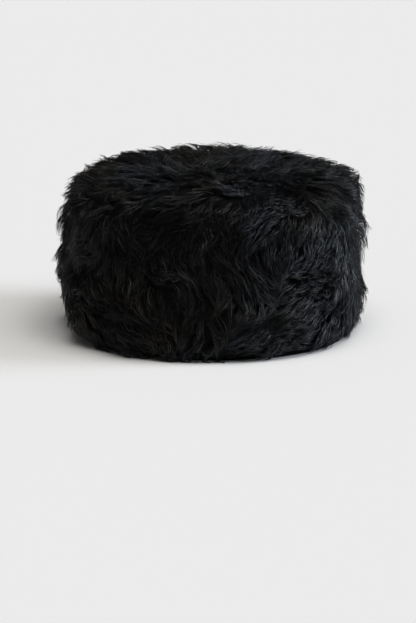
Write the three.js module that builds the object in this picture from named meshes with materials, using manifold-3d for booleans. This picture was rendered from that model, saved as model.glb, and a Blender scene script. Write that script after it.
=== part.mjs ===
// A pillbox hat of black shearling: sheepskin worn with its wool outside.
// The wall is one strip of hide sewn into an oval ring, with its lower edge turned in once as a hem.
// An oval disc of hide, the crown tip, lies on the wall's upper edge, where it is sewn.
// The wool grows outward from both, in curved locks that overlap like shingles.
// Along the crown seam the wool of the wall and the wool of the tip part from each other.
// Millimetres, +Z up. The hat stands on its rim at z = 0, the front is -Y and the ears are at +X and -X.
// The origin is the middle of the head opening.

import * as THREE from "three";
import { mergeVertices } from "three/addons/utils/BufferGeometryUtils.js";
import Module from "manifold-3d";

const wasm = await Module();
wasm.setup();

// Driving dimensions
const HEAD_WIDTH = 176; // inside of the hem, ear to ear
const HEAD_LENGTH = 194; // inside of the hem, front to back: a 58 cm head
const OVAL_POWER = 2.2; // 2 is an ellipse, more is squarer
const PELT = 2.5; // thickness of the hide
const HEM_HEIGHT = 20; // of the turned-in edge
const BAND_HEIGHT = 97; // of the hide wall
const PILE = 16.2; // depth of the wool as it lies on the wall
const RELIEF = 5; // how far the locks stand above the matted wool under them
const SEAM_GAP = 0.3; // between pieces that are sewn or lie together
const SIDES = 52; // of every oval
const FORM_RINGS = 11; // levels of the matted wool, from the floor to the middle of the crown
const STEP = 0.01; // small enough to read a slope of the form or of a lock's path
const TINY = 1e-4; // points closer than this are one point

// The oval through the outside of the hide wall, and the widest oval of the wool
const PELT_X = HEAD_WIDTH / 2 + 2 * PELT;
const PELT_Y = HEAD_LENGTH / 2 + 2 * PELT;
const WOOL_X = PELT_X + SEAM_GAP + PILE;
const WOOL_Y = PELT_Y + SEAM_GAP + PILE;
const TIP_BASE = BAND_HEIGHT + SEAM_GAP;
const TIP_TOP = TIP_BASE + PELT;
const WOOL_SEAM = TIP_TOP + SEAM_GAP;

// The outside of the wool from the floor, up the wall and over the crown to its middle.
// Each row is a height, a share of the widest oval, and how far each side is drawn in from that.
const WOOL_FORM = [
  { z: 0, share: 1, front: 7, back: 6, left: 10, right: 2.5 },
  { z: 6, share: 1, front: 2.5, back: 2, left: 5, right: 0.5 },
  { z: 16, share: 1, front: 0.5, back: 0.5, left: 0.5, right: 0 },
  { z: 34, share: 1, front: 0, back: 0, left: 0, right: 0 },
  { z: 55, share: 1, front: 1, back: 0.5, left: 1.5, right: 1 },
  { z: 75, share: 1, front: 1.5, back: 1, left: 2.5, right: 0 },
  { z: 92, share: 1, front: 1.5, back: 1.5, left: 3.5, right: 0 },
  { z: 100, share: 1, front: 3, back: 3, left: 6.5, right: 0.5 },
  { z: 107, share: 1, front: 6, back: 6.5, left: 13, right: 4 },
  { z: 112, share: 1, front: 12, back: 12, left: 21, right: 10.5 },
  { z: 115.5, share: 0.83, front: 0, back: 0, left: 12, right: 0 },
  { z: 118, share: 0.6, front: 0, back: 0, left: 4, right: 0 },
  { z: 119, share: 0.3, front: 0, back: 0, left: 0, right: 0 },
  { z: 118.5, share: 0, front: 0, back: 0, left: 0, right: 0 },
];

// Rows of locks from the rim to the middle of the crown: the way up the form from the floor to their roots
// as a share of it, how many there are, how long and wide they are, and how far they lean to one side.
const LOCK_ROWS = [
  { root: 0.18, count: 23, length: 38, width: 28, lean: 12 },
  { root: 0.3, count: 24, length: 42, width: 28, lean: -12 },
  { root: 0.42, count: 23, length: 42, width: 28, lean: 14 },
  { root: 0.54, count: 22, length: 41, width: 28, lean: -10 },
  { root: 0.68, count: 17, length: 40, width: 29, lean: 12 },
  { root: 0.81, count: 10, length: 38, width: 27, lean: -14 },
  { root: 0.93, count: 5, length: 34, width: 23, lean: 16 },
];

// The section of a lock: two shoulders and two edges, across its width and from its edges (0) to its crest (1).
const LOCK_SECTION = [
  { across: 0.4, rise: 1 },
  { across: 1, rise: 0 },
  { across: -1, rise: 0 },
  { across: -0.5, rise: 0.85 },
];
const LOCK_MIDDLE = { across: 0, rise: 0.2 };

// A lock from its root to its tip: its share of the full width, and where its edges and its crest lie,
// measured out from the form in millimetres. The root is sunk in the matted wool.
const LOCK_GROWTH = [
  { width: 0.6, edge: -8, crest: -6.5 },
  { width: 1, edge: -6.8, crest: -1 },
  { width: 0.95, edge: -6.2, crest: 0.5 },
  { width: 0, edge: -3.5, crest: -3.5 },
];
const LOCK_WAVE = 3; // how far a lock curves to one side and back
// How much the locks differ: their place round the hat as a share of their spacing, their size as a share,
// and their root, lift and lean in millimetres.
const LOCK_VARIES = { place: 0.25, size: 0.12, root: 3, lift: 1.2, lean: 5 };

// A repeatable stream of numbers from -1 to 1.
function variations(seed) {
  const modulus = 2 ** 32;
  let state = seed;
  return () => {
    state = (state * 1664525 + 1013904223) % modulus;
    return (2 * state) / modulus - 1;
  };
}

// The radius of an oval at an angle round the hat.
function ovalRadius(angle, halfX, halfY) {
  const x = Math.abs(Math.cos(angle)) / halfX;
  const y = Math.abs(Math.sin(angle)) / halfY;
  return (x ** OVAL_POWER + y ** OVAL_POWER) ** (-1 / OVAL_POWER);
}

// The form's profile on one side of the hat, as a curve of radius (x) and height (z).
function sideProfile(side, half) {
  const points = WOOL_FORM.map(
    (row) => new THREE.Vector3(row.share * half - row[side], 0, row.z),
  );
  return new THREE.CatmullRomCurve3(points, false, "centripetal");
}

const PROFILES = {
  front: sideProfile("front", WOOL_Y),
  back: sideProfile("back", WOOL_Y),
  left: sideProfile("left", WOOL_X),
  right: sideProfile("right", WOOL_X),
};

// A point of the form: an angle round the hat, and the way up from the floor (0) to the crown's middle (1).
// Between two sides the profiles blend into each other.
function formPoint(angle, way) {
  const share = THREE.MathUtils.clamp(way, 0, 1);
  const sideways = PROFILES[Math.cos(angle) > 0 ? "right" : "left"].getPointAt(share);
  const lengthways = PROFILES[Math.sin(angle) > 0 ? "back" : "front"].getPointAt(share);
  const blend = Math.sin(angle) ** 2;
  const size = THREE.MathUtils.lerp(sideways.x / WOOL_X, lengthways.x / WOOL_Y, blend);
  const height = THREE.MathUtils.lerp(sideways.z, lengthways.z, blend);
  const radius = size * ovalRadius(angle, WOOL_X, WOOL_Y);
  return new THREE.Vector3(radius * Math.cos(angle), radius * Math.sin(angle), height);
}

// The outward normal of the form.
function formNormal(angle, way) {
  const inside = THREE.MathUtils.clamp(way, STEP, 1 - 2 * STEP);
  const round = formPoint(angle + STEP, inside).sub(formPoint(angle - STEP, inside));
  const up = formPoint(angle, inside + STEP).sub(formPoint(angle, inside - STEP));
  return round.cross(up).normalize();
}

// Moves every vertex of a geometry by place(vertex, its angle round Z).
function reshape(geometry, place) {
  const position = geometry.attributes.position;
  const vertex = new THREE.Vector3();
  for (let i = 0; i < position.count; i++) {
    vertex.fromBufferAttribute(position, i);
    place(vertex, Math.atan2(vertex.y, vertex.x));
    position.setXYZ(i, vertex.x, vertex.y, vertex.z);
  }
  return geometry;
}

// A lathe round +Z from a profile of [radius, height].
function latheUp(profile) {
  const points = profile.map(([radius, height]) => new THREE.Vector2(radius, height));
  return new THREE.LatheGeometry(points, SIDES).rotateX(Math.PI / 2);
}

// A lathe whose profile is drawn on the ear side and whose rings follow the oval of the hide.
// A ring near the hide keeps its distance from it all round.
function ovalLathe(profile) {
  return reshape(latheUp(profile), (vertex, angle) => {
    const radius = Math.hypot(vertex.x, vertex.y);
    const hide = ovalRadius(angle, PELT_X, PELT_Y);
    const drawn = radius > 0.5 * PELT_X ? hide + radius - PELT_X : 0;
    vertex.x = drawn * Math.cos(angle);
    vertex.y = drawn * Math.sin(angle);
  });
}

// A closed geometry as a solid that can be joined and cut, and back again.
function solidOf(geometry) {
  const bare = new THREE.BufferGeometry().setIndex(geometry.index);
  bare.setAttribute("position", geometry.attributes.position);
  const merged = mergeVertices(bare, TINY);
  return new wasm.Manifold(
    new wasm.Mesh({
      numProp: 3,
      vertProperties: merged.attributes.position.array,
      triVerts: new Uint32Array(merged.index.array),
    }),
  );
}

function geometryOf(solid) {
  const { vertProperties, triVerts } = solid.getMesh();
  const geometry = new THREE.BufferGeometry();
  geometry.setAttribute("position", new THREE.BufferAttribute(vertProperties, 3));
  return geometry.setIndex(new THREE.BufferAttribute(triVerts, 1));
}

// The hide wall with its turned-in hem, as one closed section.
function bandPelt() {
  const outside = PELT_X;
  const inside = PELT_X - PELT;
  const hem = PELT_X - 2 * PELT;
  return ovalLathe([
    [hem, 0],
    [outside, 0],
    [outside, BAND_HEIGHT],
    [inside, BAND_HEIGHT],
    [inside, HEM_HEIGHT + PELT],
    [hem, HEM_HEIGHT],
    [hem, 0],
  ]);
}

// The oval hide disc that closes the top.
function tipPelt() {
  return ovalLathe([
    [0, TIP_BASE],
    [PELT_X, TIP_BASE],
    [PELT_X, TIP_TOP],
    [0, TIP_TOP],
  ]);
}

// The matted wool under the locks: the whole form, drawn in by the locks' relief, with a flat base.
function mattedWool() {
  const profile = [[0, 0]];
  for (let ring = 0; ring < FORM_RINGS; ring++) profile.push([1, ring / FORM_RINGS]);
  profile.push([0, 1]);
  return reshape(latheUp(profile), (vertex, angle) => {
    const way = vertex.z;
    if (Math.hypot(vertex.x, vertex.y) < TINY) {
      vertex.set(0, 0, way * (formPoint(0, 1).z - RELIEF));
    } else {
      vertex.copy(formPoint(angle, way)).addScaledVector(formNormal(angle, way), -RELIEF);
      if (way < TINY) vertex.z = 0;
    }
  });
}

// One lock: a cone of as many sides as its section, laid along the form from its root towards the floor.
// spine(share of the length) gives its angle round the hat and its way up the form.
function lock(halfWidth, lift, spine) {
  const steps = LOCK_GROWTH.length - 1;
  const sides = LOCK_SECTION.length;
  const cone = new THREE.ConeGeometry(1, 1, sides, steps);
  return reshape(cone, (vertex) => {
    const along = vertex.y + 0.5;
    const growth = LOCK_GROWTH[Math.round(along * steps)];
    const turn = Math.atan2(vertex.x, vertex.z) / (2 * Math.PI);
    const onAxis = Math.hypot(vertex.x, vertex.z) < TINY;
    const corner = onAxis ? LOCK_MIDDLE : LOCK_SECTION[(Math.round(turn * sides) + sides) % sides];

    const here = spine(along);
    const ahead = spine(along + STEP);
    const normal = formNormal(here.angle, here.way);
    const point = formPoint(here.angle, here.way);
    const forward = formPoint(ahead.angle, ahead.way).sub(point);
    const across = forward.cross(normal).normalize();
    const height = growth.edge + corner.rise * (growth.crest - growth.edge) + lift;
    vertex.copy(point);
    vertex.addScaledVector(normal, height);
    vertex.addScaledVector(across, corner.across * growth.width * halfWidth);
  });
}

// Every lock of the hat, row by row.
function locks() {
  const vary = variations(7);
  const formLength = PROFILES.front.getLength();
  const solids = [];
  for (const row of LOCK_ROWS) {
    const offset = vary();
    for (let i = 0; i < row.count; i++) {
      const start = ((i + offset + LOCK_VARIES.place * vary()) / row.count) * 2 * Math.PI;
      const length = row.length * (1 + LOCK_VARIES.size * vary());
      const halfWidth = 0.5 * row.width * (1 + LOCK_VARIES.size * vary());
      const lean = row.lean + LOCK_VARIES.lean * vary();
      const wave = LOCK_WAVE * Math.sign(vary());
      const root = row.root + (LOCK_VARIES.root * vary()) / formLength;
      const middle = formPoint(start, root - length / (2 * formLength));
      const radius = Math.hypot(middle.x, middle.y);
      const spine = (along) => ({
        angle: start + (lean * along + wave * Math.sin(2 * Math.PI * along)) / radius,
        way: root - (along * length) / formLength,
      });
      solids.push(solidOf(lock(halfWidth, LOCK_VARIES.lift * vary(), spine)));
    }
  }
  return solids;
}

// The space of the head and the hide, where no wool is.
function hideSpace() {
  return solidOf(
    ovalLathe([
      [0, -PILE],
      [PELT_X + SEAM_GAP, -PILE],
      [PELT_X + SEAM_GAP, WOOL_SEAM],
      [0, WOOL_SEAM],
    ]),
  );
}

// The space of the crown's own wool: above the hide and inside a cone that rises outward from the seam.
function crownSpace(seam) {
  const reach = 3 * PILE;
  return solidOf(
    ovalLathe([
      [0, seam],
      [PELT_X, seam],
      [PELT_X + reach, seam + reach],
      [0, seam + reach],
    ]),
  );
}

// The largest connected piece of a solid: short ends that a cut leaves loose fall away.
function mainBody(solid) {
  return solid.decompose().reduce((a, b) => (b.volume() > a.volume() ? b : a));
}

const fleece = wasm.Manifold.union([solidOf(mattedWool()), ...locks()]);
const floor = solidOf(new THREE.BoxGeometry(3 * WOOL_X, 3 * WOOL_X, PILE).translate(0, 0, -PILE / 2));
const grown = fleece.subtract(floor).subtract(hideSpace());
const bandFleece = mainBody(grown.subtract(crownSpace(WOOL_SEAM - SEAM_GAP)));
const tipFleece = mainBody(grown.intersect(crownSpace(WOOL_SEAM)));

const hat = new THREE.Group();

function addPiece(name, geometry, color, roughness) {
  const material = new THREE.MeshStandardMaterial({ color, roughness, metalness: 0 });
  const mesh = new THREE.Mesh(geometry, material);
  mesh.name = name;
  hat.add(mesh);
}

const SUEDE = 0x1b1816;
const WOOL = 0x131315;

addPiece("side_band_pelt", bandPelt(), SUEDE, 0.95);
addPiece("crown_tip_pelt", tipPelt(), SUEDE, 0.95);
addPiece("side_band_fleece", geometryOf(bandFleece), WOOL, 0.6);
addPiece("crown_tip_fleece", geometryOf(tipFleece), WOOL, 0.6);

export default hat;
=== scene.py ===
# %% [markdown]
# A pillbox hat of black shearling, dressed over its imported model. The model brings the hide: an oval
# wall with a turned-in hem, and the disc that closes the top. It also brings the wool as plain solids
# with the outer form of the real wool. This lesson keeps the hide and grows real wool in place of
# those solids: matted wool underneath, and thousands of fine tapered strands gathered in wavy locks.

import math

import bmesh
import bpy
import numpy as np
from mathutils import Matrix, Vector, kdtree


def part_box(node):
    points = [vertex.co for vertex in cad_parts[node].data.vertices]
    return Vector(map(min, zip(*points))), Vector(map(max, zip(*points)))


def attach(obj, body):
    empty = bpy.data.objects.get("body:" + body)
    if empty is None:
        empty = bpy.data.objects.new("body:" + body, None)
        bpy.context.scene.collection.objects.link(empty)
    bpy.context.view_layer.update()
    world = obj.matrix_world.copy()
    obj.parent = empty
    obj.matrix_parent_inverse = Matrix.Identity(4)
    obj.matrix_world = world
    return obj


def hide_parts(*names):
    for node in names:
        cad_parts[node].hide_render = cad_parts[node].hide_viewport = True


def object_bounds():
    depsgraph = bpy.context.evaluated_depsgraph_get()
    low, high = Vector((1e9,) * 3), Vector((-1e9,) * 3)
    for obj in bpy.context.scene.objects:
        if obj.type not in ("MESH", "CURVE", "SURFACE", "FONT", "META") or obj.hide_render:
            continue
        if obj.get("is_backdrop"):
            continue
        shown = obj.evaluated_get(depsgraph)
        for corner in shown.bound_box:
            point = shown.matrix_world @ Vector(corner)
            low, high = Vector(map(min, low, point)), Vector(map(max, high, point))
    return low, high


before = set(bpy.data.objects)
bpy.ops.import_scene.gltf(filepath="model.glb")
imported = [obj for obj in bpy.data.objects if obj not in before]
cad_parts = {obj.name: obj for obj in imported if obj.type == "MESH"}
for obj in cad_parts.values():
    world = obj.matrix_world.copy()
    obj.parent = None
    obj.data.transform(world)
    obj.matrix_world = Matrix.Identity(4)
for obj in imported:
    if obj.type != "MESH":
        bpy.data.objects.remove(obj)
cad_low, cad_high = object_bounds()
MM = 0.001
print("the packed hat is", [round((h - l) / MM, 1) for l, h in zip(cad_low, cad_high)], "mm")

# %% [markdown]
# Every strand of wool follows the outside of the hat, so that outside is needed as a form that can be
# asked for a place at any angle. It is worked out from one profile for each side. The widest oval of the
# wool is the oval of the hide, grown by the pile. Each row of a profile says what is left of that oval at
# a height: a share of its reach, and how many millimetres each side is drawn in.

# %% The form of the wool, in millimetres
hide_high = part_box("side_band_pelt")[1]
HIDE = np.array([hide_high[0], hide_high[1]]) / MM
SEAM_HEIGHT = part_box("crown_tip_pelt")[1][2] / MM
PILE = 16.5
OVAL_POWER = 2.2
WOOL = HIDE + PILE

FORM_ROWS = [
    {"z": 0, "share": 1, "front": 8, "back": 6, "left": 14, "right": 4},
    {"z": 6, "share": 1, "front": 3.5, "back": 2, "left": 9.5, "right": 2},
    {"z": 16, "share": 1, "front": 0.5, "back": 0.5, "left": 4, "right": 0.5},
    {"z": 34, "share": 1, "front": 0, "back": 0, "left": 0.5, "right": 0},
    {"z": 55, "share": 1, "front": 1, "back": 0.5, "left": 1.5, "right": 1},
    {"z": 75, "share": 1, "front": 1.5, "back": 1, "left": 2.5, "right": 0},
    {"z": 92, "share": 1, "front": 1.5, "back": 1.5, "left": 3.5, "right": 0},
    {"z": 100, "share": 1, "front": 3, "back": 3, "left": 6.5, "right": 0.5},
    {"z": 107, "share": 1, "front": 6, "back": 6.5, "left": 13, "right": 4},
    {"z": 112, "share": 1, "front": 12, "back": 12, "left": 21, "right": 10.5},
    {"z": 115.5, "share": 0.83, "front": 0, "back": 0, "left": 12, "right": 0},
    {"z": 118, "share": 0.6, "front": 0, "back": 0, "left": 4, "right": 0},
    {"z": 119, "share": 0.3, "front": 0, "back": 0, "left": 0, "right": 0},
    {"z": 118.5, "share": 0, "front": 0, "back": 0, "left": 0, "right": 0},
]
PROFILE_POINTS = 240
ROUNDING = 9  # points of the running average that rounds a profile's corners


def oval_reach(angle, half):
    """How far an oval reaches from its middle at an angle round +Z."""
    x = np.abs(np.cos(angle)) / half[0]
    y = np.abs(np.sin(angle)) / half[1]
    return (x**OVAL_POWER + y**OVAL_POWER) ** (-1 / OVAL_POWER)


def rounded(values):
    """A running average that leaves both ends where they are."""
    padded = np.pad(values, ROUNDING // 2, mode="reflect", reflect_type="odd")
    return np.convolve(padded, np.ones(ROUNDING) / ROUNDING, mode="valid")


def side_profile(side, half):
    """The reach and height of one side of the form, from the floor to the middle of the crown."""
    reach = np.array([row["share"] * half - row[side] for row in FORM_ROWS])
    height = np.array([float(row["z"]) for row in FORM_ROWS])
    run = np.concatenate([[0], np.cumsum(np.hypot(np.diff(reach), np.diff(height)))])
    along = np.linspace(0, run[-1], PROFILE_POINTS)
    return rounded(np.interp(along, run, reach)), rounded(np.interp(along, run, height))


PROFILES = {
    "front": side_profile("front", WOOL[1]),
    "back": side_profile("back", WOOL[1]),
    "left": side_profile("left", WOOL[0]),
    "right": side_profile("right", WOOL[0]),
}
print("the wool is", 2 * WOOL, "mm at its widest")

# %% [markdown]
# Seen from a point in the middle of the hat, every place of the form lies in one direction, so a table
# of distances by direction holds all of it. Two small helpers read that table for many points at once:
# one says how far a point stands above the form, the other which way the form faces there.

# %% Ask the form for a place
CENTRE = np.array([0.0, 0.0, 55.0])
FACING_STEP = 1.5  # mm to each side, over which the form's slope is measured
ROUND_STEPS = 240
RISE_STEPS = 240
round_angles = np.linspace(-np.pi, np.pi, ROUND_STEPS + 1)
rise_angles = np.linspace(-np.pi / 2, np.pi / 2, RISE_STEPS + 1)
form_table = np.zeros((ROUND_STEPS + 1, RISE_STEPS + 1))
for i, angle in enumerate(round_angles):
    sideways = PROFILES["right" if np.cos(angle) > 0 else "left"]
    lengthways = PROFILES["back" if np.sin(angle) > 0 else "front"]
    blend = np.sin(angle) ** 2
    share = (1 - blend) * sideways[0] / WOOL[0] + blend * lengthways[0] / WOOL[1]
    reach = share * oval_reach(angle, WOOL)
    height = (1 - blend) * sideways[1] + blend * lengthways[1] - CENTRE[2]
    rise = np.arctan2(height, reach)
    order = np.argsort(rise)
    form_table[i] = np.interp(rise_angles, rise[order], np.hypot(reach, height)[order])


def form_reach(points):
    """The distance from CENTRE to the form in the direction of each point."""
    away = points - CENTRE
    turn = np.arctan2(away[..., 1], away[..., 0])
    rise = np.arctan2(away[..., 2], np.hypot(away[..., 0], away[..., 1]))
    a = (turn + np.pi) / (2 * np.pi) * ROUND_STEPS
    b = (rise + np.pi / 2) / np.pi * RISE_STEPS
    i = np.clip(a.astype(int), 0, ROUND_STEPS - 1)
    j = np.clip(b.astype(int), 0, RISE_STEPS - 1)
    u, v = a - i, b - j
    low = (1 - u) * form_table[i, j] + u * form_table[i + 1, j]
    high = (1 - u) * form_table[i, j + 1] + u * form_table[i + 1, j + 1]
    return (1 - v) * low + v * high


def unit(vectors):
    """The same vectors with a length of 1."""
    return vectors / np.maximum(np.linalg.norm(vectors, axis=-1, keepdims=True), 1e-9)


def above_form(points):
    """How far each point stands above the form, seen from CENTRE."""
    return np.linalg.norm(points - CENTRE, axis=-1) - form_reach(points)


def facing(points):
    """The outward normal of the form at each point."""
    steps = FACING_STEP * np.eye(3)
    slopes = [above_form(points + step) - above_form(points - step) for step in steps]
    return unit(np.stack(slopes, axis=-1))


def on_form(points, lift=0.0):
    """Each point moved along its own direction to a height above the form."""
    reach = form_reach(points) + lift
    return CENTRE + unit(points - CENTRE) * reach[..., None]


def place(round_degrees, rise_degrees):
    """A place on the form: degrees round from the front, + to the viewer's right, and up from CENTRE."""
    turn = np.radians(np.asarray(round_degrees) - 90)
    rise = np.radians(np.asarray(rise_degrees))
    flat = np.cos(rise)
    direction = np.stack([flat * np.cos(turn), flat * np.sin(turn), np.sin(rise)], axis=-1)
    return on_form(CENTRE + direction)


print("the crown's middle is at", place(0, 89.9).round(1))

# %% [markdown]
# The camera stands where the photograph was taken from: level with the hat's front, a little under
# twelve degrees above it, and far enough away that the far side looks hardly smaller than the near
# one. The lens follows from the hat's size in the picture. The camera is aimed so that the hat's
# middle falls on its place in the picture, with no lens shift, so that other views stay centred.

# %% Camera
IMAGE_WIDTH, IMAGE_HEIGHT = 416, 623
HAT_PIXEL_X, HAT_PIXEL_Y = 210.0, 247.5  # where the middle of the hat is in the picture
PIXELS_PER_MM = 1.392
HAT_MIDDLE = np.array([0.0, 0.0, 58.0])
CAMERA_DISTANCE = 2300.0
CAMERA_ELEVATION = math.radians(11.75)
SENSOR = 36.0

focal_pixels = PIXELS_PER_MM * CAMERA_DISTANCE
camera_data = bpy.data.cameras.new("camera")
camera_data.sensor_width = SENSOR
camera_data.lens = focal_pixels / IMAGE_HEIGHT * SENSOR
camera = bpy.data.objects.new("camera", camera_data)
bpy.context.scene.collection.objects.link(camera)
back = np.array([0.0, -math.cos(CAMERA_ELEVATION), math.sin(CAMERA_ELEVATION)])
camera.location = (HAT_MIDDLE + CAMERA_DISTANCE * back) * MM
pitch = CAMERA_ELEVATION + math.atan((IMAGE_HEIGHT / 2 - HAT_PIXEL_Y) / focal_pixels)
yaw = math.atan((HAT_PIXEL_X - IMAGE_WIDTH / 2) / focal_pixels)
camera.rotation_euler = (math.pi / 2 - pitch, 0, yaw)
camera_data.clip_start = 0.1
camera_data.clip_end = 100
bpy.context.scene.camera = camera
print("lens", round(camera_data.lens, 1), "mm")

# %% [markdown]
# The floor is one pale sheet that runs out past the picture's edges and is as matt as paper. It could
# be a box or a curved backdrop, but a flat sheet is enough for a hat that stands on a table. It throws
# a good part of its light back at the hat, which lights the wool from below.

# %% Floor
FLOOR_HALF = 12.0
PALE_GREY = (0.90, 0.90, 0.90, 1)
floor_mesh = bpy.data.meshes.new("floor")
shape = bmesh.new()
bmesh.ops.create_grid(shape, x_segments=4, y_segments=4, size=FLOOR_HALF)
shape.to_mesh(floor_mesh)
shape.free()
floor = bpy.data.objects.new("floor", floor_mesh)
bpy.context.scene.collection.objects.link(floor)
floor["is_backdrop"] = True

floor_paint = bpy.data.materials.new("pale_floor")
floor_paint.use_nodes = True
floor_shader = floor_paint.node_tree.nodes["Principled BSDF"]
floor_shader.inputs["Base Color"].default_value = PALE_GREY
floor_shader.inputs["Roughness"].default_value = 1.0
floor_shader.inputs["Specular IOR Level"].default_value = 0.0
floor_mesh.materials.append(floor_paint)
print("the floor is", 2 * FLOOR_HALF, "m wide")

# %% [markdown]
# A black hat takes its shape from highlights alone, so the light matters. It comes from three soft
# suns: one nearly overhead, a weaker one from the upper right, and a cool low one from the right that
# draws the bright curls on that side. The two on the right lay the soft shadow on the floor at the left.
# The room itself stays dim, because an even light would grey the black and hide the locks.

# %% Lights
WARM_WHITE = (1, 0.968, 0.928)
WHITE = (1, 1, 1)
COOL_WHITE = (0.84, 0.91, 1)
LAMPS = [
    {"name": "high_lamp", "round": 22, "rise": 77, "strength": 1.55, "soft": 42, "color": WARM_WHITE},
    {"name": "side_lamp", "round": 66, "rise": 56, "strength": 0.70, "soft": 42, "color": WHITE},
    {"name": "low_lamp", "round": 90, "rise": 16, "strength": 2.4, "soft": 28, "color": COOL_WHITE},
]
ROOM_LIGHT = 0.083


def add_sun(name, round_degrees, rise_degrees, strength, soft, color):
    """A sun whose light comes from an angle round the hat and a rise above the floor."""
    data = bpy.data.lights.new(name, "SUN")
    data.energy = strength
    data.angle = math.radians(soft)
    data.color = color
    lamp = bpy.data.objects.new(name, data)
    lamp.rotation_euler = (math.radians(90 - rise_degrees), 0, math.radians(round_degrees))
    bpy.context.scene.collection.objects.link(lamp)


for lamp in LAMPS:
    add_sun(lamp["name"], lamp["round"], lamp["rise"], lamp["strength"], lamp["soft"], lamp["color"])

world = bpy.data.worlds.new("room")
bpy.context.scene.world = world
world.use_nodes = True
room = world.node_tree.nodes["Background"]
room.inputs["Color"].default_value = (1, 1, 1, 1)
room.inputs["Strength"].default_value = ROOM_LIGHT
bpy.context.scene.view_settings.view_transform = "Standard"
print(len(LAMPS), "lamps and a room light of", ROOM_LIGHT)

# %% [markdown]
# Nothing on a fleece is even, and nothing on it changes suddenly. Two helpers say where it differs. Soft
# noise rises and falls slowly from place to place. It is made of a few plane waves, because they are
# smooth everywhere and the same on every run. Soft spots are places, given one by one, that fade out with
# their reach. A third helper tells the wool of the crown, which differs from the wall's, from the rest.

# %% Soft noise and soft spots
PLANE_WAVES = 8
CROWN_FROM = 98.0  # height at which the wool begins to behave like that of the crown
CROWN_BLEND = 14.0


def soft_noise(points, size, seed):
    """A smooth random field with a spread of about 1, from a few plane waves."""
    waves = np.random.default_rng(seed)
    total = np.zeros(points.shape[:-1])
    for _ in range(PLANE_WAVES):
        heading = unit(waves.normal(size=3))
        pitch = 2 * np.pi / size * waves.uniform(0.6, 1.5)
        total += np.sin(points @ heading * pitch + waves.uniform(0, 2 * np.pi))
    return total / math.sqrt(PLANE_WAVES / 2)


def crown_share(points):
    """How far each point belongs to the crown, from 0 on the wall to 1 on top."""
    return np.clip((points[..., 2] - CROWN_FROM) / CROWN_BLEND, 0, 1)


def spots_at(points, spots, column=3):
    """The sum at each point of one column of soft spots, which fade out with their reach."""
    total = np.zeros(len(points))
    for spot in spots:
        away = np.linalg.norm(points - place(spot[0], spot[1]), axis=-1)
        total = total + spot[column] * np.exp(-((away / spot[2]) ** 2))
    return total


wall_to_crown = place([0, 0, 0], [0, 25, 50])
print("from the wall to the crown, the crown's share grows as", crown_share(wall_to_crown).round(2))

# %% [markdown]
# Sheep's wool doesn't lie all one way. From the middle of the crown it runs outward and down the wall,
# because that is how it falls, but each patch of it has been stroked or pressed its own way. So the lie
# of the wool is a field of directions over the form: the fall, bent by a slow random swirl, and then by
# comb strokes with the headings that the locks have in the photograph. A stroke is written as degrees
# round from the front, degrees of rise, its heading off the fall in degrees, and its reach in mm.

# %% The lie of the wool
STROKES = [
    (-76, 33, -95, 12), (-65, 29, -106, 12), (-39, 25, -124, 14), (-43, 19, 14, 14), (-30, 20, 21, 14),
    (-50, 12, -53, 12), (-35, 10, -9, 14), (-20, 16, 3, 16), (-17, 29, -78, 12), (-38, 1, 39, 14),
    (-24, 4, 2, 14), (-13, 3, 36, 14), (-20, 9, -10, 10), (-44, -8, 74, 14), (-34, -15, 44, 16),
    (-46, -18, 48, 12), (-22, -13, 52, 14), (-32, -6, 87, 10), (-20, -5, -19, 10), (-11, -6, 2, 12),
    (-5, -8, -26, 12), (-13, -18, 57, 12), (-3, 14, -9, 12), (-2, 6, 40, 12), (-7, 21, -58, 12),
    (8, 21, 15, 12), (12, 15, -4, 16), (7, 4, 8, 14), (8, -5, -7, 12), (10, -10, -30, 10),
    (2, -15, 74, 10), (18, 0, 48, 10), (20, -5, 67, 10), (20, 21, -59, 12), (26, 20, -51, 14),
    (37, 18, -44, 16), (48, 14, -59, 14), (23, 13, -11, 10), (31, 12, -35, 12), (40, 10, -69, 12),
    (60, 7, -28, 12), (32, 2, -87, 14), (43, 0, -82, 14), (56, -2, -44, 12), (61, -12, -43, 12),
    (36, -7, -84, 14), (28, -6, -92, 12), (43, -14, -90, 12), (55, -16, -58, 12), (28, -13, -67, 12),
    (16, -15, -69, 12), (32, -20, -91, 14), (13, -19, -100, 14), (49, -22, -87, 12), (-5, -19, -85, 12),
    (-28, -21, 65, 12), (20, -10, -85, 10), (-56, 39, 40, 16), (-41, 50, 42, 18), (-21, 36, -15, 12),
    (8, 50, -28, 14), (23, 38, -89, 14), (50, 60, -85, 14), (56, 43, -46, 14), (39, 31, -18, 12),
    (55, 31, 41, 14), (51, 25, 79, 12), (27, 26, -85, 12),
]
STROKE_STRENGTH = 4.0
SWIRL_SIZE = 58.0  # of a patch that lies its own way
SWIRL_TURN = math.radians(50)
CROWN_SWIRL_SIZE = 30.0
CROWN_SWIRL_TURN = math.radians(45)
WHORL_REACH = 34.0  # nearer to the crown's middle than this, the wool lies one steady way
WHORL_LIE = np.array([0.55, -0.83, 0.0])
RIM_TURN_HEIGHT = 13.0  # below this the wool turns aside and lies along the rim


def turned(vectors, axes, angles):
    """Vectors turned about axes that stand square to them."""
    side = np.cross(axes, vectors)
    return vectors * np.cos(angles)[..., None] + side * np.sin(angles)[..., None]


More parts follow.
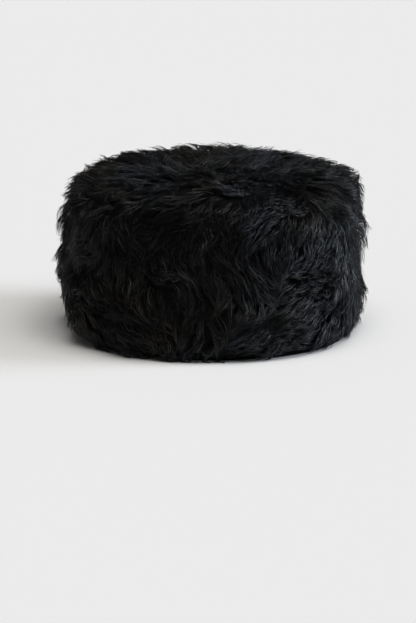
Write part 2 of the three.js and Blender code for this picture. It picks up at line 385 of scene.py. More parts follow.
def lie_of_wool(points, normals):
    """The direction in which the wool lies at each point, along the form."""
    flat = np.hypot(points[:, 0], points[:, 1])
    steady = np.clip(1 - flat / WHORL_REACH, 0, 1)[:, None]
    outward = (1 - steady) * unit(points * np.array([1.0, 1.0, 0.0])) + steady * WHORL_LIE
    fall = outward - np.array([0.0, 0.0, 1.0])
    fall = unit(fall - normals * np.sum(fall * normals, axis=-1, keepdims=True))
    swirl = SWIRL_TURN * soft_noise(points, SWIRL_SIZE, seed=5)
    swirl = swirl + CROWN_SWIRL_TURN * soft_noise(points, CROWN_SWIRL_SIZE, seed=6) * crown_share(points)
    lie = turned(fall, normals, swirl)
    for at_round, at_rise, heading, reach in STROKES:
        away = np.linalg.norm(points - place(at_round, at_rise), axis=-1)
        weight = STROKE_STRENGTH * np.exp(-((away / reach) ** 2))
        lie = lie + weight[:, None] * turned(fall, normals, np.full(len(points), math.radians(heading)))
    near_floor = np.clip(1 - points[:, 2] / RIM_TURN_HEIGHT, 0, 1)
    lie[:, 2] *= 1 - near_floor
    lie = lie - normals * np.sum(lie * normals, axis=-1, keepdims=True)
    return unit(lie)


print(len(STROKES), "comb strokes bend the fall of the wool")

# %% [markdown]
# Wool is gathered twice over. Fibres that share their grease lie together in small tufts a few
# millimetres apart, and the tufts wave together in locks of about a centimetre. So the wool is grown
# in three rounds, each led by the one before: locks, tufts and strands. Roots are spread evenly by
# dart throwing, where a random place is kept only if no earlier root is too near.

# %% Roots
chance = np.random.default_rng(20)
LOWEST_ROOT = 2.5
LOCK_SPACING = 9.5
TUFT_SPACING = 2.7
LOCK_DARTS = 5000
TUFT_DARTS = 38000


def throw_darts(count):
    """Random places on the form, with every part of its area hit alike."""
    darts = unit(chance.normal(size=(5 * count, 3)))
    places = on_form(CENTRE + darts)
    slant = np.sum(facing(places) * darts, axis=-1)
    area = form_reach(places) ** 2 / np.maximum(slant, 0.4)
    kept = chance.uniform(size=len(places)) < area / area.max()
    places = places[kept & (places[:, 2] > LOWEST_ROOT)]
    return places[:count]


def spread_roots(spacing, darts):
    """Root places no nearer to each other than the spacing."""
    places = throw_darts(darts)
    kept = np.full((len(places), 3), 1e6)
    count = 0
    for dart in places:
        if np.min(np.sum((kept[: count + 1] - dart) ** 2, axis=1)) > spacing**2:
            kept[count] = dart
            count += 1
    return kept[:count]


def nearest(points, leaders):
    """For each point, the number of the leader whose root is nearest."""
    tree = kdtree.KDTree(len(leaders))
    for number, leader in enumerate(leaders):
        tree.insert(leader, number)
    tree.balance()
    return np.array([tree.find(point)[1] for point in points])


lock_roots = spread_roots(LOCK_SPACING, LOCK_DARTS)
tuft_roots = spread_roots(TUFT_SPACING, TUFT_DARTS)
print(len(lock_roots), "locks and", len(tuft_roots), "tufts")

# %% [markdown]
# A lock isn't straight. It follows the lie of the wool from its root, curls slowly aside and waves as
# it goes, because each fibre has a crimp and its neighbours share it. Each path is found by walking over
# the form in short steps, asking the lie again at each one.

# %% Walk along the lie
PATH_POINTS = 16
PATH_LENGTH = 21.0
PATH_CLEARANCE = 0.8  # over the floor
WAVE_LENGTH = 14.5
WAVE_ONSET = 1.8  # a wave has its full swing after the path's length divided by this
along_path = np.linspace(0, 1, PATH_POINTS)


def follow_lie(starts, turn, curl):
    """Walk from each start along the lie of the wool, turned and curled aside, and keep the path."""
    ground = starts.copy()
    path, across = [], []
    for along in along_path:
        normal = facing(ground)
        heading = turned(lie_of_wool(ground, normal), normal, turn + curl * along)
        path.append(ground)
        across.append(np.cross(normal, heading))
        ground = on_form(ground + heading * PATH_LENGTH / (PATH_POINTS - 1))
        ground[:, 2] = np.maximum(ground[:, 2], PATH_CLEARANCE)
    return np.stack(path, axis=1), np.stack(across, axis=1)


def wave(phase, swing):
    """How far a waving path swings aside at each of its points."""
    turns = 2 * np.pi * along_path[None, :] * PATH_LENGTH / WAVE_LENGTH
    return swing[:, None] * np.minimum(1, WAVE_ONSET * along_path) * np.sin(turns + phase[:, None])


print("each path is", PATH_LENGTH, "mm long")

# %% [markdown]
# The locks are walked first. The tufts do the same on their own, are drawn a little to the lock with the
# nearest root and take over its curl and its wave. Neighbouring locks wave nearly in step, which makes the
# wool look stroked and not frizzy. Each tuft also lies higher or lower than the next and flicks its tip
# up or down. On the viewer's right the wool is smoother, in a soft spot: degrees round from the front,
# degrees of rise, its reach in mm and its strength.

# %% Locks and tufts
LOCK_TURN = 0.12  # radians off the lie, as the spread of single locks
TUFT_TURN = math.radians(6)
LOCK_CURL = math.radians(28)  # how far a lock turns aside between its root and its end
TUFT_CURL = math.radians(8)
CURL_SIZE = 40.0  # of an area whose locks curl the same way
LOCK_PULL = 0.3  # how far a tuft is drawn to its lock by the time both end
WAVE_PHASE = 2.4  # radians by which areas wave out of step
PHASE_SIZE = 42.0
PHASE_SPREAD = 0.4
LOCK_SWING = 1.9
TUFT_SWING = 0.3
LOCK_LIFT = 1.0  # mm up or down, as the spread of whole locks
TUFT_LIFT = 0.45
MEAN_FLICK = 0.1  # mm by which the tips turn up
LOCK_FLICK = 0.65
TUFT_FLICK = 0.35
CALM_SPOTS = [(40, 8, 48, 1)]
CALM_SWING = 0.75  # share of a lock's swing that calm takes away
CALM_PULL = 0.5  # and of a tuft's pull on its strands

lock_turn = chance.normal(0, LOCK_TURN, len(lock_roots))
lock_curl = LOCK_CURL * soft_noise(lock_roots, CURL_SIZE, seed=12)
lock_path, _ = follow_lie(lock_roots, lock_turn, lock_curl)
lock_phase = WAVE_PHASE * soft_noise(lock_roots, PHASE_SIZE, seed=8)
lock_phase = lock_phase + chance.normal(0, PHASE_SPREAD, len(lock_roots))
calm = spots_at(lock_roots, CALM_SPOTS)
lock_swing = LOCK_SWING * chance.uniform(0.3, 1.4, len(lock_roots)) * (1 - CALM_SWING * calm)
lock_wave = wave(lock_phase, lock_swing)

leader = nearest(tuft_roots, lock_roots)
tuft_turn = chance.normal(0, TUFT_TURN, len(tuft_roots))
tuft_curl = lock_curl[leader] + chance.normal(0, TUFT_CURL, len(tuft_roots))
tuft_path, tuft_across = follow_lie(tuft_roots, tuft_turn, tuft_curl)
pull = LOCK_PULL * along_path[None, :, None]
tuft_path = tuft_path + pull * (lock_path[leader] - tuft_path)
own_phase = chance.uniform(0, 2 * np.pi, len(tuft_roots))
own_wave = wave(own_phase, TUFT_SWING * chance.uniform(0, 1.5, len(tuft_roots)))
tuft_path = tuft_path + tuft_across * (lock_wave[leader] + own_wave)[..., None]
tuft_lift = chance.normal(0, LOCK_LIFT, len(lock_roots))[leader]
tuft_lift = tuft_lift + chance.normal(0, TUFT_LIFT, len(tuft_roots))
tuft_flick = chance.normal(MEAN_FLICK, LOCK_FLICK, len(lock_roots))[leader]
tuft_flick = tuft_flick + chance.normal(0, TUFT_FLICK, len(tuft_roots))
print("the tips of the tufts flick up by", round(float(tuft_flick.mean()), 2), "mm on average")

# %% [markdown]
# Real wool isn't the same all over: in one place it is browner or deeper than in another. Patches of it
# are also painted lighter where highlights fall, and darker and duller where shade lies.
# Such places are soft spots, given one by one. Each is written as degrees round from the front, degrees of
# rise, its reach in mm, how much browner or lighter it is and, for a patch, its height in mm.

# %% Browner places, and patches of painted light and shade
WARMTH = 0.4  # from 0, blue-black, to 1, brown
WARMTH_SPREAD = 0.2
WARMTH_SIZE = 70.0
PAINTED_COOL_LIGHT = 0.35  # painted cool light: how much warmth is lost on the viewer's right, where the cool lamp falls
PAINTED_COOL_LIGHT_REACH = 90.0
WARM_SPOTS = [(-16, -6, 38, 0.5), (-8, -19, 20, -0.6)]
LIGHTNESS = 0.85
DYE_SPREAD = 0.12
DYE_SIZE = 42.0
LIGHTNESS_LIMITS = (0.3, 1.35)
# The fourth column is painted light and shade: lighter for highlights on the locks, darker for shade
# between them. The fifth is a real rise or dip of the wool.
PAINTED_LIGHT_AND_RELIEF_PATCHES = [
    (-27, 34, 16, -0.8, -1.1), (44, 35, 14, -0.75, -1.1), (-50, 30, 14, 0.2, 0.5),
    (38, -6, 34, 0.2, 0), (60, 5, 30, 0.2, 0), (85, 32, 22, 0, -2), (65, 30, 14, 0, -1.2),
    (14, 38, 12, 0.55, 1), (-107, 81, 12, 0.3, 0.5), (25, 22, 20, 0.4, 0.8), (48, 23, 18, 0.25, 0.5),
    (49, 8, 18, 0.25, 0.5), (28, 4, 12, 0.25, 0.5), (34, -3, 15, 0.3, 0.6), (20, -5, 12, 0.25, 0.5),
    (-32, 27, 12, 0.25, 0.4), (-14, 5, 9, 0.25, 0.6), (-7, -4, 9, 0.2, 0.6), (7, -18, 12, 0.4, 0),
    (55, -7, 14, 0.2, 0.3), (34, -16, 15, 0.35, 0), (28, 36, 10, -0.62, -1.8), (32, 28, 9, -0.5, -1.8),
    (46, 27, 9, -0.38, -1.6), (60, 29, 12, -0.56, -1.6), (-13, 27, 15, -0.75, -1.8),
    (-23, 26, 12, -0.65, -1.8), (-22, 11, 12, -0.5, -1.8), (-53, 41, 14, -0.44, -1.4),
    (-58, -2, 12, -0.38, -1.6), (-7, 20, 14, -0.44, -1.4), (23, 2, 10, -0.38, -1.4),
    (3, 8, 12, -0.38, -1.4), (-45, -10, 14, -0.31, -1.1), (28, -11, 9, -0.38, -1.8),
    (-36, 12, 12, -0.38, -1.1), (3, 26, 12, -0.38, -1.1), (-15, -2, 7, -0.38, -1.6),
    (122, 33, 26, 0, -3), (-124, 32, 14, 0, 1.8), (-104, 26, 14, 0, -2.2),
    (18, -18, 13, 0.35, 0), (64, 36, 14, -0.45, 0),
]
DULL_FROM = 0.25  # a patch darker than this has dull strands, which paint shade there
DULL_RISE = 1.5
DULL_MOST = 0.9


def tint_and_painted_cool_light_at(points):
    """Where the dyed wool looks brown rather than blue-black, from 0 to 1, with a painted blue cast of the
    cool lamp on the viewer's right.
    """
    uneven = WARMTH + WARMTH_SPREAD * soft_noise(points, WARMTH_SIZE, seed=14)
    uneven = uneven - PAINTED_COOL_LIGHT * np.clip(points[:, 0] / PAINTED_COOL_LIGHT_REACH, -0.5, 1)
    return np.clip(uneven + spots_at(points, WARM_SPOTS), 0, 1)


def dye_and_painted_light_at(points):
    """How light the wool is: the dye takes unevenly, and the patches are painted lighter where highlights
    fall and darker where shade lies.
    """
    light = LIGHTNESS + DYE_SPREAD * soft_noise(points, DYE_SIZE, seed=23) + spots_at(points, PAINTED_LIGHT_AND_RELIEF_PATCHES)
    return np.clip(light, *LIGHTNESS_LIMITS)


def painted_shade_dull_share(points):
    """The share of dull strands, which lie only in the dark patches and paint shade there."""
    return np.clip(DULL_RISE * (-spots_at(points, PAINTED_LIGHT_AND_RELIEF_PATCHES) - DULL_FROM), 0, DULL_MOST)


print(len(WARM_SPOTS), "spots change the tint and", len(PAINTED_LIGHT_AND_RELIEF_PATCHES), "patches the light and the height")

# %% [markdown]
# Strands fill the tufts. The roots are scattered over all of the hide, so that no patch stays bare, and
# each strand leans on the tuft nearest to its root: it starts on its own and is drawn to the tuft as it
# goes, so that strands end together in fine points. It climbs out of the matted wool, lies on its
# neighbours and lifts or drops its tip a little. Long strands make the waves that are seen, and short
# ones fill in between. A few strays stand off from the rest and soften the outline.

# %% Strands
LONG_SHARES = np.array([0.0, 0.3, 0.5, 0.68, 0.85, 1.0])
SHORT_SHARES = np.array([0.0, 0.38, 0.72, 1.0])
LONG_THICKNESS = np.array([0.0, 1.0, 1.0, 0.9, 0.65, 0.0])
SHORT_THICKNESS = np.array([0.0, 1.0, 0.8, 0.0])
LONG_COUNT = 31000
SHORT_COUNT = 15500
LONG_LEAST = 0.7  # share of the path that the shortest of the long strands run along
SHORT_LEAST = 0.5
SHORT_LOWER = 0.9  # mm by which the short strands lie under the long ones
STRAND_RADIUS = 0.145  # mm
COARSENESS = (0.7, 1.2)  # from the thinnest strand to the thickest
GUARD_SHARE = 0.14  # of the strands: coarse and smooth ones, painted pale as glints
GUARD_THICKER = 1.75
GUARD_LIFT = 0.75  # mm by which they lie on top
GUARD_FRIZZ = 0.08  # mm by which they stray from their path
GUARD_GLINT_SHADES = (0.6, 1)  # from 0, the darkest shade, to 1, the palest: painted glints
FRIZZ = 0.22
SHADES_OF_REST = (0, 0.6)
TUFT_PULL = 0.5
PULL_SPREAD = (0.5, 1.2)
PULL_CURVE = 0.9
ROOT_DEPTH = 8.5
CLIMB = 0.62  # share of the path in which a strand climbs out of the matted wool
CLIMB_CURVE = 1.4
LIFT_ONSET = 1.6  # a strand has its full lift after the path's length divided by this
STRAND_LIFT = 0.45  # mm up or down, as the spread of single strands
STRAND_FLICK = 0.4
FLOOR_GAP = 0.4
HIDE_GAP = 0.7
RELIEF_SIZE = 34.0
RELIEF = 1.8
CROWN_RELIEF_SIZE = 15.0  # of the tufts that stand up on the crown, where nothing presses them
CROWN_RELIEF = 1.9
CROWN_SHORTER = 0.1  # share that the crown's wool is shorter by, because it stands up more
SETTLING = 2.2  # how far the wool's surface lies under the form, which its strays reach
STRAY_SHARE = 0.07
STRAY_LIFT = 2.6
STRAY_CURVE = 1.7


def read_path(values, number, share):
    """Path values of each strand's tuft, read at shares of the path's length."""
    at = np.clip(share, 0, 1) * (PATH_POINTS - 1)
    i = np.minimum(at.astype(int), PATH_POINTS - 2)
    u = (at - i)[..., None]
    return (1 - u) * values[number[:, None], i] + u * values[number[:, None], i + 1]


def keep_clear(points):
    """Strands kept off the floor and out of the hide."""
    points[..., 2] = np.maximum(points[..., 2], FLOOR_GAP)
    turn = np.arctan2(points[..., 1], points[..., 0])
    reach = np.hypot(points[..., 0], points[..., 1])
    least = oval_reach(turn, HIDE) + HIDE_GAP
    inside = (points[..., 2] < SEAM_HEIGHT + 0.5) & (reach < least)
    push = np.where(inside, least / np.maximum(reach, 1e-6), 1.0)
    points[..., :2] *= push[..., None]
    return points


def grow_strands(count, shares, thickness, shortest, lowering):
    """Strands spread over the whole form: their points, facings, radii, colours and finish."""
    starts = throw_darts(count)
    count = len(starts)
    number = nearest(starts, tuft_roots)
    size = chance.uniform(shortest, 1.0, count) * (1 - CROWN_SHORTER * crown_share(starts))
    share = size[:, None] * shares[None, :]
    middle = read_path(tuft_path, number, share)
    offset = (starts - tuft_path[number, 0])[:, None, :]
    pull = TUFT_PULL * chance.uniform(*PULL_SPREAD, count) * (1 - CALM_PULL * spots_at(starts, CALM_SPOTS))
    pull = pull[:, None] * shares[None, :] ** PULL_CURVE
    guard = chance.uniform(size=count) < GUARD_SHARE
    unruly = np.where(guard, GUARD_FRIZZ, FRIZZ)[:, None, None] * np.minimum(1, 3 * shares)[None, :, None]
    frizz = unruly * chance.normal(size=(count, len(shares), 3))
    ground = middle + offset * (1 - pull)[..., None] + frizz
    climb = -ROOT_DEPTH * np.clip(1 - share / CLIMB, 0, 1) ** CLIMB_CURVE
    lift = RELIEF * soft_noise(starts, RELIEF_SIZE, seed=9) + spots_at(starts, PAINTED_LIGHT_AND_RELIEF_PATCHES, column=4)
    lift = lift + CROWN_RELIEF * soft_noise(starts, CROWN_RELIEF_SIZE, seed=31) * crown_share(starts)
    lift = lift + tuft_lift[number] - lowering - SETTLING
    lift = lift + chance.normal(0, STRAND_LIFT, count) + GUARD_LIFT * guard
    flick = tuft_flick[number] + chance.normal(0, STRAND_FLICK, count)
    stray = (chance.uniform(size=count) < STRAY_SHARE) * chance.uniform(0.3, 1, count) * STRAY_LIFT
    height = climb + lift[:, None] * np.minimum(1, LIFT_ONSET * share)
    height = height + flick[:, None] * share**3 + stray[:, None] * shares[None, :] ** STRAY_CURVE
    points = keep_clear(on_form(ground, height))
    normal = facing(points)
    coarse = chance.uniform(*COARSENESS, count) * np.where(guard, GUARD_THICKER, 1.0)
    radius = STRAND_RADIUS * coarse[:, None] * thickness[None, :]
    painted_glint_shade = chance.uniform(*GUARD_GLINT_SHADES, count)
    other_shade = chance.uniform(*SHADES_OF_REST, count)
    shade = np.where(guard, painted_glint_shade, other_shade) * dye_and_painted_light_at(starts)
    return {
        "root": starts,
        "points": points,
        "normal": normal,
        "radius": radius,
        "warmth": tint_and_painted_cool_light_at(starts),
        "shade": np.minimum(shade, 1),
        # dull strands lie in the dark patches as painted shade
        "dull": chance.uniform(size=count) < painted_shade_dull_share(starts),
    }


long_strands = grow_strands(LONG_COUNT, LONG_SHARES, LONG_THICKNESS, LONG_LEAST, 0.0)
short_strands = grow_strands(SHORT_COUNT, SHORT_SHARES, SHORT_THICKNESS, SHORT_LEAST, SHORT_LOWER)
print(len(long_strands["root"]), "long strands and", len(short_strands["root"]), "short ones")

# %% [markdown]
# Every strand is the same small tube: rings of three corners, drawn to a point at the root and at the
# tip. Three sides are enough, because nobody sees more at this size, and because so many strands must
# fit in one scene. An operator would make one tube at a time, so the faces are written once, by a loop.

# %% The tube of one strand
RING = 3


def tube_faces(points):
    """The faces of one strand, as lists of its own corner numbers."""
    rings = points - 2
    root = rings * RING
    tip = root + 1
    last = root - RING
    faces = []
    for side in range(RING):
        following = (side + 1) % RING
        faces.append([root, following, side])
        faces.append([last + side, last + following, tip])
        for ring in range(0, last, RING):
            faces.append([ring + side, ring + following, ring + following + RING, ring + side + RING])
    return faces


def strand_triangles(shares):
    """The number of triangles of a strand with points at these shares of its length."""
    return sum(len(face) - 2 for face in tube_faces(len(shares)))


print("a long strand has", strand_triangles(LONG_SHARES), "triangles")
print("a short strand has", strand_triangles(SHORT_SHARES), "triangles")

# %% [markdown]
# The strands of one part of the hat become one mesh. Its corners are worked out for all strands at once
# and handed over as arrays. A tube's UV map runs along it, in one of a few hundred narrow columns. They
# stand in groups that go from blue-black to brown, and in each group from dark to light, so the column
# chooses both the tint and the shade of a strand.

# %% Tubes from arrays
TINTS = 16
SHADES = 16
TINT_SPREAD = 0.12
FLATNESS = 1.15  # stretch of a ring sideways, which makes its strand flatter


def tube_corners(points, normal, radius):
    """Corner places of every strand: rings of three round its points, its root and its tip."""
    ahead = unit(np.gradient(points, axis=1))
    aside = unit(np.cross(ahead, normal))
    above = np.cross(aside, ahead)
    rings = []
    for side in range(RING):
        turn = 2 * np.pi * side / RING
        spoke = FLATNESS * aside * math.sin(turn) + above * math.cos(turn)
        rings.append(points + spoke * radius[..., None])
    body = np.stack(rings, axis=2)[:, 1:-1].reshape(len(points), -1, 3)
    return np.concatenate([body, points[:, :1], points[:, -1:]], axis=1)


def tube_uvs(shares, warmth, shade):
    """A place on the tint map for every corner of every strand."""
    tint = np.clip(warmth + chance.normal(0, TINT_SPREAD, len(warmth)), 0, 0.999)
    column = np.floor(tint * TINTS) * SHADES + np.floor(shade * 0.999 * SHADES)
    across = np.append(np.tile(np.arange(RING) / RING, len(shares) - 2), [0.5, 0.5])
    along = np.append(np.repeat(shares[1:-1], RING), [0.0, 1.0])
    u = (column[:, None] + 0.1 + 0.8 * across[None, :]) / (TINTS * SHADES)
    v = np.broadcast_to(0.01 + 0.98 * along[None, :], u.shape)
    return np.stack([u, v], axis=-1)


def tube_arrays(strands, shares, chosen, first):
    """Corners, face corner numbers, face sizes, UV places and kinds of wool of the chosen strands."""
    corners = tube_corners(strands["points"][chosen], strands["normal"][chosen], strands["radius"][chosen])
    faces = tube_faces(len(shares))
    pattern = np.array([corner for face in faces for corner in face])
    steps = corners.shape[1] * np.arange(len(corners))
    loops = (pattern[None, :] + steps[:, None]).ravel()
    sizes = np.tile(np.array([len(face) for face in faces]), len(corners))
    uvs = tube_uvs(shares, strands["warmth"][chosen], strands["shade"][chosen]).reshape(-1, 2)[loops]
    kinds = np.repeat(strands["dull"][chosen].astype(int), len(faces))
    return corners.reshape(-1, 3), loops + first, sizes, uvs, kinds


one_tube = tube_corners(*(long_strands[key][:1] for key in ("points", "normal", "radius")))
print("the tube of a long strand has", one_tube.shape[1], "corners")

# %% [markdown]
# A mesh can be filled from flat arrays in one go, which is much faster for hundreds of thousands of faces
# than adding them one by one. The faces of dull strands get the second of the two wool finishes, the one
# that paints shade.

# %% One mesh of many strands
def strand_mesh(name, chooser):
    """One closed mesh of all strands whose roots the chooser picks."""
    long_arrays = tube_arrays(long_strands, LONG_SHARES, chooser(long_strands["root"]), 0)
    first = len(long_arrays[0])
    short_arrays = tube_arrays(short_strands, SHORT_SHARES, chooser(short_strands["root"]), first)
    corners, loops, sizes, uvs, kinds = map(np.concatenate, zip(long_arrays, short_arrays))
    mesh = bpy.data.meshes.new(name)
    mesh.vertices.add(len(corners))
    mesh.vertices.foreach_set("co", (corners * MM).ravel())
    mesh.loops.add(len(loops))
    mesh.loops.foreach_set("vertex_index", loops)
    mesh.polygons.add(len(sizes))
    mesh.polygons.foreach_set("loop_start", np.concatenate([[0], np.cumsum(sizes)[:-1]]))
    mesh.polygons.foreach_set("loop_total", sizes)
    mesh.polygons.foreach_set("use_smooth", np.ones(len(sizes), dtype=bool))
    mesh.polygons.foreach_set("material_index", kinds)
    mesh.uv_layers.new(name="OFBake").data.foreach_set("uv", uvs.ravel())
    mesh.update(calc_edges=True)
    mesh.validate()
    return mesh


triangles = len(long_strands["root"]) * strand_triangles(LONG_SHARES)
triangles += len(short_strands["root"]) * strand_triangles(SHORT_SHARES)
print("all strands together have", triangles, "triangles")

# %% [markdown]
# Dyed wool is never quite black. Its fibres are smooth and reflect the lamps along their length, and the
# dye takes unevenly, so that some patches look brown and others blue; on the viewer's right the blue is a
# painted cast of the cool lamp. One recipe does it all: the column of the tint map picks the tint and how
# pale the strand is, from uneven dye, painted light and shade and painted glints, and the way along the
# strand lets its tip be paler than its root. It is used twice, because the strands in the darkest patches
# are made dull as painted shade and the rest shines.

# %% Finish of the strands
BLUE_BLACK = (0.0045, 0.0054, 0.0075, 1)
BROWN_BLACK = (0.0089, 0.0079, 0.0055, 1)
LEAST_LIGHT = 0.8  # of the wool's colour, in its darkest strands
MORE_LIGHT = 8.5  # added to that in its palest strands
FEW_PALE = 3.0  # the power that keeps most strands dark
ROOT_LIGHT = 0.3
TIP_LIGHT = 1.25


def math_node(material, operation, value, factor):
    """A math node on a value, and its output."""
    node = material.node_tree.nodes.new("ShaderNodeMath")
    node.operation = operation
    node.inputs[1].default_value = factor
    material.node_tree.links.new(value, node.inputs[0])
    return node.outputs["Value"]


def wool_material(name, roughness, shine):
    """Dyed black wool: its tint and shade go by the column, and it pales along the strand."""
    material = bpy.data.materials.new(name)
    material.use_nodes = True
    nodes, links = material.node_tree.nodes, material.node_tree.links
    shader = nodes["Principled BSDF"]
    shader.inputs["Roughness"].default_value = roughness
    shader.inputs["Specular IOR Level"].default_value = shine
    shader.inputs["Specular Tint"].default_value = (0.96, 0.98, 1.0, 1)
    tint_map = nodes.new("ShaderNodeUVMap")
    tint_map.uv_map = "OFBake"
    split = nodes.new("ShaderNodeSeparateXYZ")
    links.new(tint_map.outputs["UV"], split.inputs["Vector"])
    tone = nodes.new("ShaderNodeValToRGB")
    tone.color_ramp.elements[0].color = BLUE_BLACK
    tone.color_ramp.elements[1].color = BROWN_BLACK
    links.new(split.outputs["X"], tone.inputs["Fac"])
    steps = math_node(material, "MULTIPLY", split.outputs["X"], TINTS)
    shade = math_node(material, "FRACT", steps, 0)
    steep = math_node(material, "POWER", shade, FEW_PALE)
    bright = math_node(material, "MULTIPLY_ADD", steep, MORE_LIGHT)
    bright.node.inputs[2].default_value = LEAST_LIGHT
    fade = nodes.new("ShaderNodeMapRange")
    fade.inputs["To Min"].default_value = ROOT_LIGHT
    fade.inputs["To Max"].default_value = TIP_LIGHT
    links.new(split.outputs["Y"], fade.inputs["Value"])
    depth = math_node(material, "MULTIPLY", bright, 1)
    links.new(fade.outputs["Result"], depth.node.inputs[1])
    scaled = nodes.new("ShaderNodeVectorMath")
    scaled.operation = "SCALE"
    links.new(tone.outputs["Color"], scaled.inputs["Vector"])
    links.new(depth, scaled.inputs["Scale"])
    links.new(scaled.outputs["Vector"], shader.inputs["Base Color"])
    return material


shiny_wool = wool_material("shiny_wool", roughness=0.27, shine=0.35)
painted_shade_wool = wool_material("painted_shade_wool", roughness=0.5, shine=0.08)
print("the strands are finished as", shiny_wool.name, "and", painted_shade_wool.name)

# %% [markdown]
# The matted wool deep between the locks is seen only in the gaps. It is as matt as felt and almost black.
# A fine noise gives it a grain, both in its colour and as a bump.

# %% Finish of the matted wool
MATTED_GRAIN = 900.0  # to the metre
MATTED_DARK = (0.0020, 0.0021, 0.0023, 1)
MATTED_PALE = (0.0075, 0.0076, 0.0080, 1)
MATTED_BUMP = 0.001


def matted_material():
    """The matted wool deep between the locks: almost no light comes back from it."""
    material = bpy.data.materials.new("matted_wool")
    material.use_nodes = True
    nodes, links = material.node_tree.nodes, material.node_tree.links
    shader = nodes["Principled BSDF"]
    shader.inputs["Roughness"].default_value = 0.95
    shader.inputs["Specular IOR Level"].default_value = 0.05
    place_node = nodes.new("ShaderNodeTexCoord")
    grain = nodes.new("ShaderNodeTexNoise")
    grain.inputs["Scale"].default_value = MATTED_GRAIN
    links.new(place_node.outputs["Object"], grain.inputs["Vector"])
    tone = nodes.new("ShaderNodeValToRGB")
    tone.color_ramp.elements[0].color = MATTED_DARK
    tone.color_ramp.elements[1].color = MATTED_PALE
    links.new(grain.outputs["Fac"], tone.inputs["Fac"])
    links.new(tone.outputs["Color"], shader.inputs["Base Color"])
    bump = nodes.new("ShaderNodeBump")
    bump.inputs["Distance"].default_value = MATTED_BUMP
    links.new(grain.outputs["Fac"], bump.inputs["Height"])
    links.new(bump.outputs["Normal"], shader.inputs["Normal"])
    return material


matted_wool = matted_material()
print("the wool between the locks is finished as", matted_wool.name)

# %% [markdown]
# The hat is cut from two pieces of sheepskin, so the locks belong to the wall or to the crown, and the
# seam between them is where their roots part. Each of the two is split again, to keep every mesh small
# enough to handle: the wall into four quarters and the crown into two halves. All of these pieces stand
# for the plain solid of their part.

# %% Grow the locks
def on_crown(roots):
    """Whether each root grows from the disc of hide on top rather than from the wall."""
    beyond = np.hypot(roots[:, 0], roots[:, 1]) - oval_reach(np.arctan2(roots[:, 1], roots[:, 0]), HIDE)
    return roots[:, 2] - SEAM_HEIGHT > beyond


def in_quarter(roots, side):
    """Whether each root is nearer to one side of the wall than to the three others."""
    facing_side = roots[:, :2] @ np.array(side)
    return ~on_crown(roots) & (facing_side > np.abs(roots[:, :2] @ np.array([side[1], -side[0]])))


PARTS = [
    ("band_locks_right", "side_band_fleece", lambda roots: in_quarter(roots, (1, 0))),
    ("band_locks_left", "side_band_fleece", lambda roots: in_quarter(roots, (-1, 0))),
    ("band_locks_front", "side_band_fleece", lambda roots: in_quarter(roots, (0, -1))),
    ("band_locks_back", "side_band_fleece", lambda roots: in_quarter(roots, (0, 1))),
    ("crown_locks_front", "crown_tip_fleece", lambda roots: on_crown(roots) & (roots[:, 1] < 0)),
    ("crown_locks_back", "crown_tip_fleece", lambda roots: on_crown(roots) & (roots[:, 1] >= 0)),
]


def add_piece(name, mesh, materials, node):
    """A finished piece: it rides on the hat, stands for its solid and takes its finish from a slot."""
    for material in materials:
        mesh.materials.append(material)
    piece = bpy.data.objects.new(name, mesh)
    bpy.context.scene.collection.objects.link(piece)
    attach(piece, "root")
    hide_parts(node)
    triangles = sum(len(face.vertices) - 2 for face in mesh.polygons)
    print(name, triangles, "triangles")


for name, node, chooser in PARTS:
    add_piece(name, strand_mesh(name, chooser), [shiny_wool, painted_shade_wool], node)

# %% [markdown]
# Between the locks lies matted wool. The solid that the model brings already closes the wool against the
# hide and the floor, so a copy of it is pressed down under the roots of the locks.

# %% Matted wool
MATTED_DEPTH = 6.5


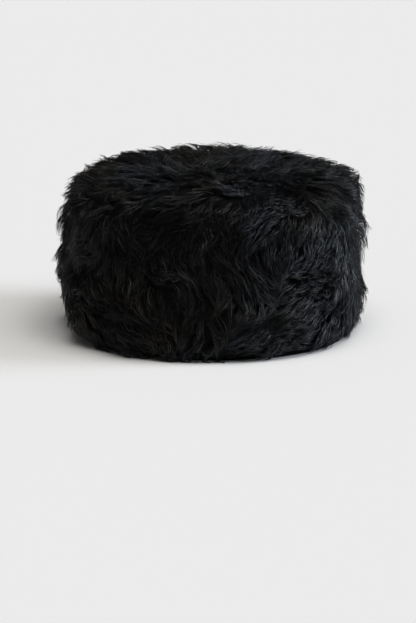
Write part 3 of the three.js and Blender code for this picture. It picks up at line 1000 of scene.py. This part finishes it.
def pressed_copy(name, node):
    """A copy of a solid, with all that stands proud pressed down under the locks."""
    shape = bmesh.new()
    shape.from_mesh(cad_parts[node].data)
    bmesh.ops.remove_doubles(shape, verts=shape.verts, dist=1e-6)
    places = np.array([vertex.co for vertex in shape.verts]) / MM
    proud = above_form(places) > -MATTED_DEPTH
    pressed = np.where(proud[:, None], on_form(places, -MATTED_DEPTH), places)
    pressed[:, 2] = np.where(places[:, 2] < 0.01, 0.0, np.maximum(pressed[:, 2], 0.2))
    for vertex, spot in zip(shape.verts, pressed):
        vertex.co = spot * MM
    for face in shape.faces:
        face.smooth = True
    mesh = bpy.data.meshes.new(name)
    shape.to_mesh(mesh)
    shape.free()
    return mesh


for name, node in (("band_matted_wool", "side_band_fleece"), ("crown_matted_wool", "crown_tip_fleece")):
    add_piece(name, pressed_copy(name, node), [matted_wool], node)

# %% [markdown]
# Inside, the hat shows the flesh side of the hide: dyed suede, matt and a little browner than the wool.
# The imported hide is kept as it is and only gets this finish, a fine nap from noise in its own place.

# %% Suede of the hide
NAP_GRAIN = 700.0  # to the metre
SUEDE_DARK = (0.018, 0.015, 0.013, 1)
SUEDE_PALE = (0.045, 0.038, 0.033, 1)


def suede_material():
    """The flesh side of a dyed sheepskin: matt, with a nap that lies lighter and darker."""
    material = bpy.data.materials.new("black_suede")
    material.use_nodes = True
    nodes, links = material.node_tree.nodes, material.node_tree.links
    shader = nodes["Principled BSDF"]
    shader.inputs["Roughness"].default_value = 0.9
    shader.inputs["Specular IOR Level"].default_value = 0.2
    place_node = nodes.new("ShaderNodeTexCoord")
    nap = nodes.new("ShaderNodeTexNoise")
    nap.inputs["Scale"].default_value = NAP_GRAIN
    links.new(place_node.outputs["Object"], nap.inputs["Vector"])
    tone = nodes.new("ShaderNodeValToRGB")
    tone.color_ramp.elements[0].color = SUEDE_DARK
    tone.color_ramp.elements[1].color = SUEDE_PALE
    links.new(nap.outputs["Fac"], tone.inputs["Fac"])
    links.new(tone.outputs["Color"], shader.inputs["Base Color"])
    return material


suede = suede_material()
for node in ("side_band_pelt", "crown_tip_pelt"):
    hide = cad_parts[node]
    hide.data.materials.clear()
    hide.data.materials.append(suede)
print("both pieces of hide are finished as", suede.name)

# %% [markdown]
# Last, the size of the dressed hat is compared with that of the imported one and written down. The wool
# may stand a few millimetres past the solids, as loose tips do, but no more.

# %% Finish
low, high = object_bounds()
above = [h - c for h, c in zip(high, cad_high)]
below = [c - l for l, c in zip(low, cad_low)]
beyond = max(above + below) / MM
print("the wool stands past the packed hat by", round(beyond, 1), "mm at most")
